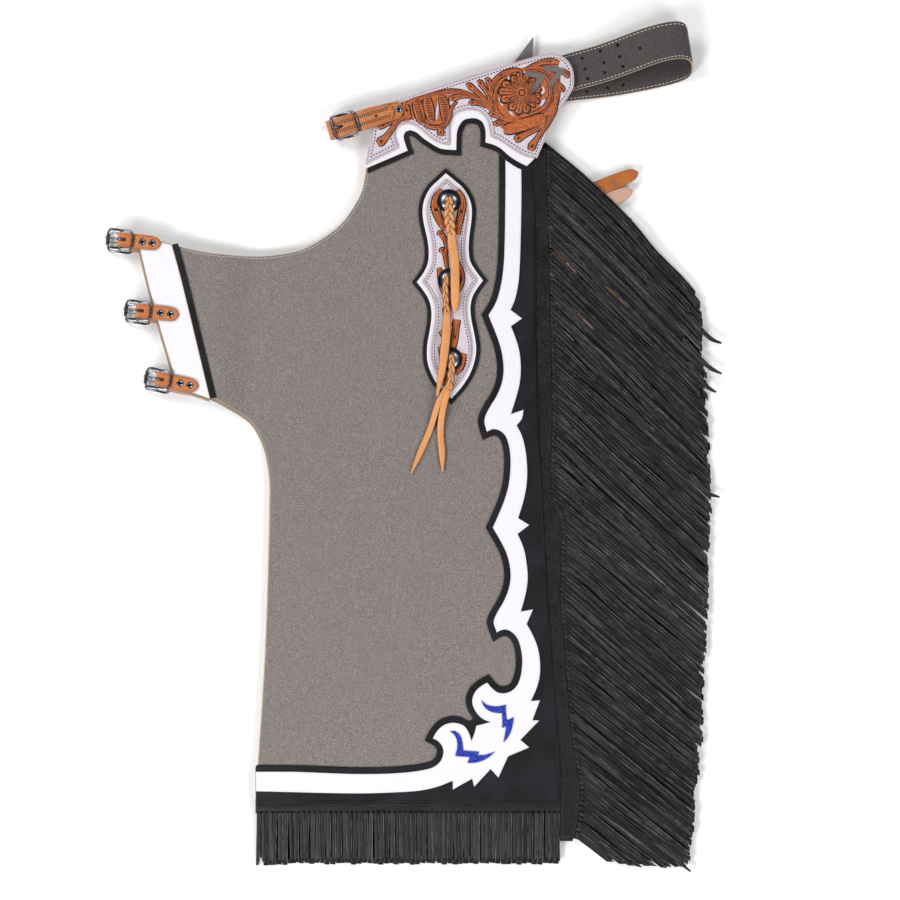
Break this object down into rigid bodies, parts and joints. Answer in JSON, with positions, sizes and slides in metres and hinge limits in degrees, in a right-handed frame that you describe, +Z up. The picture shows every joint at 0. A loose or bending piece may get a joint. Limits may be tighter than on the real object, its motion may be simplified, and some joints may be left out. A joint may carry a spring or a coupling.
{
  "type": "rodeo chaps, a pair folded flat",
  "caption": "Fringed leather rodeo chaps folded flat, with tooled yoke, scroll border, conchos, leg buckles, back belt and buckled front strap.",
  "frame": {"origin": "middle of the footprint, on the surface the folded chaps lie on", "axes": "+Y from the hem to the belt, +X from the inner thigh to the fringe, +Z up out of the surface"},
  "size_m": [0.7294, 1.0124, 0.026],
  "materials": {
    "grey_leather": "pebbled",
    "black_leather": "satin",
    "white_leather": "smooth",
    "blue_leather": "metallic",
    "tooled_leather": "tooled and painted",
    "tan_leather": "smooth",
    "nickel": "polished",
    "silver": "antiqued"
  },
  "bodies": {
    "root": {"belt": "grey_leather", "belt_lace_1": "grey_leather", "belt_lace_2": "grey_leather", "belt_lace_end": "grey_leather", "front_chape": "tan_leather", "front_billet": "tan_leather", "front_buckle_frame": "nickel", "front_buckle_tongue": "nickel", "left_leg_panel": "grey_leather", "left_border": "black_leather", "left_border_scroll": "white_leather", "left_flash_side": "blue_leather", "left_flash_hem": "blue_leather", "left_side_fringe": "black_leather", "left_hem_fringe": "black_leather", "left_thigh_facing": "white_leather", "left_thigh_piping": "black_leather", "left_yoke_backing": "black_leather", "left_yoke_overlay": "white_leather", "left_yoke_plate": "tooled_leather", "left_medallion_backing": "black_leather", "left_medallion_overlay": "white_leather", "left_medallion_plate": "tooled_leather", "left_concho_1": "silver", "left_concho_2": "silver", "left_concho_3": "silver", "left_string_1": "tan_leather", "left_string_2": "tan_leather", "left_string_3": "tan_leather", "left_billet_1": "tan_leather", "left_billet_2": "tan_leather", "left_billet_3": "tan_leather", "left_buckle_tab_1": "tan_leather", "left_buckle_tab_2": "tan_leather", "left_buckle_tab_3": "tan_leather", "left_buckle_frame_1": "nickel", "left_buckle_frame_2": "nickel", "left_buckle_frame_3": "nickel", "right_leg_panel": "grey_leather", "right_border": "black_leather", "right_border_scroll": "white_leather", "right_side_fringe": "black_leather", "right_hem_fringe": "black_leather", "right_thigh_facing": "white_leather", "right_yoke_plate": "tooled_leather", "right_billet_1": "tan_leather", "right_billet_2": "tan_leather", "right_billet_3": "tan_leather", "right_buckle_tab_1": "tan_leather", "right_buckle_tab_2": "tan_leather", "right_buckle_tab_3": "tan_leather", "right_buckle_frame_1": "nickel", "right_buckle_frame_2": "nickel", "right_buckle_frame_3": "nickel"},
    "left_tongue_1": {"left_buckle_tongue_1": "nickel"},
    "left_tongue_2": {"left_buckle_tongue_2": "nickel"},
    "left_tongue_3": {"left_buckle_tongue_3": "nickel"},
    "right_tongue_1": {"right_buckle_tongue_1": "nickel"},
    "right_tongue_2": {"right_buckle_tongue_2": "nickel"},
    "right_tongue_3": {"right_buckle_tongue_3": "nickel"}
  },
  "joints": [
    {"name": "left_tongue_1_swing", "type": "hinge", "parent": "root", "child": "left_tongue_1", "pos_m": [-0.34568, 0.2466, 0.0189], "axis": [0.1219, 0.9925, 0], "range_deg": [0, 125]},
    {"name": "left_tongue_2_swing", "type": "hinge", "parent": "root", "child": "left_tongue_2", "pos_m": [-0.32408, 0.16128, 0.0189], "axis": [0.1132, 0.9936, 0], "range_deg": [0, 125]},
    {"name": "left_tongue_3_swing", "type": "hinge", "parent": "root", "child": "left_tongue_3", "pos_m": [-0.30008, 0.07944, 0.0189], "axis": [0.1994, 0.9799, 0], "range_deg": [0, 125]},
    {"name": "right_tongue_1_swing", "type": "hinge", "parent": "root", "child": "right_tongue_1", "pos_m": [-0.34688, 0.243, 0.0075], "axis": [-0.1219, -0.9925, 0], "range_deg": [0, 125]},
    {"name": "right_tongue_2_swing", "type": "hinge", "parent": "root", "child": "right_tongue_2", "pos_m": [-0.32528, 0.15768, 0.0075], "axis": [-0.1132, -0.9936, 0], "range_deg": [0, 125]},
    {"name": "right_tongue_3_swing", "type": "hinge", "parent": "root", "child": "right_tongue_3", "pos_m": [-0.30128, 0.07584, 0.0075], "axis": [-0.1994, -0.9799, 0], "range_deg": [0, 125]}
  ]
}
